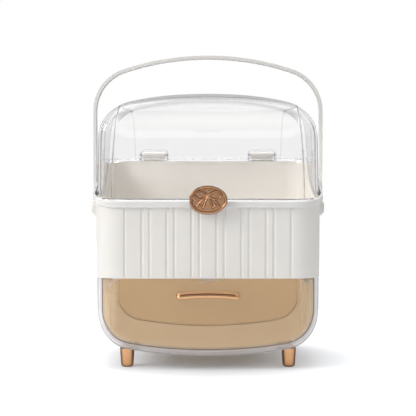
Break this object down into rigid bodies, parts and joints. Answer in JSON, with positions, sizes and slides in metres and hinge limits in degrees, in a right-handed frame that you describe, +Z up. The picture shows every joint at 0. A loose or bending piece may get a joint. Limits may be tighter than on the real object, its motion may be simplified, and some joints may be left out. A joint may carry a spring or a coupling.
{
  "type": "vanity storage organizer",
  "caption": "Portable vanity box: ribbed tub with slanted rim, clear hinged dome lid, latch, fold-back bail handle and a pull-out drawer below.",
  "frame": {"origin": "on the floor below the middle of the whole object's box", "axes": "+Z up, front with latch and drawer pull towards -Y, +X to the viewer's right"},
  "size_m": [0.259, 0.1888, 0.3372],
  "materials": {
    "white_plastic": "smooth moulded, soft gloss",
    "clear_plastic": "clear moulded plastic, polished",
    "amber_plastic": "tinted translucent plastic, polished",
    "rose_gold": "plated, satin to polished",
    "steel": "plain"
  },
  "bodies": {
    "case": {"tub": "white_plastic", "drawer_housing": "clear_plastic", "case_screws": "steel", "runner_left": "clear_plastic", "runner_right": "clear_plastic", "foot_front_left": "rose_gold", "foot_front_right": "rose_gold", "foot_rear_left": "rose_gold", "foot_rear_right": "rose_gold", "foot_screws": "steel", "bail_pivot_left": "white_plastic", "bail_pivot_right": "white_plastic"},
    "bail": {"bail_handle": "white_plastic"},
    "lid": {"lid_dome": "clear_plastic", "hinge_pin_left": "steel", "hinge_pin_right": "steel", "latch_pin": "steel"},
    "latch": {"latch_arm": "clear_plastic", "latch_medallion": "rose_gold"},
    "drawer": {"drawer_front": "amber_plastic", "drawer_tray": "amber_plastic", "drawer_pull": "rose_gold", "pull_screws": "steel"}
  },
  "joints": [
    {"name": "lid_open", "type": "hinge", "parent": "case", "child": "lid", "pos_m": [0, 0.09005, 0.22837], "axis": [-1, 0, 0], "range_deg": [0, 90]},
    {"name": "bail_fold", "type": "hinge", "parent": "case", "child": "bail", "pos_m": [0, 0.00055, 0.1685], "axis": [-1, 0, 0], "range_deg": [0, 139.5]},
    {"name": "latch_swing", "type": "hinge", "parent": "lid", "child": "latch", "pos_m": [0, -0.0848, 0.19], "axis": [-1, 0, 0], "range_deg": [0, 60]},
    {"name": "drawer_slide", "type": "slide", "parent": "case", "child": "drawer", "axis": [0, -1, 0], "range_m": [0, 0.118]}
  ],
  "couplings": [
    {"joint": "bail_fold", "follows": "lid_open", "ratio": 1.55}
  ]
}
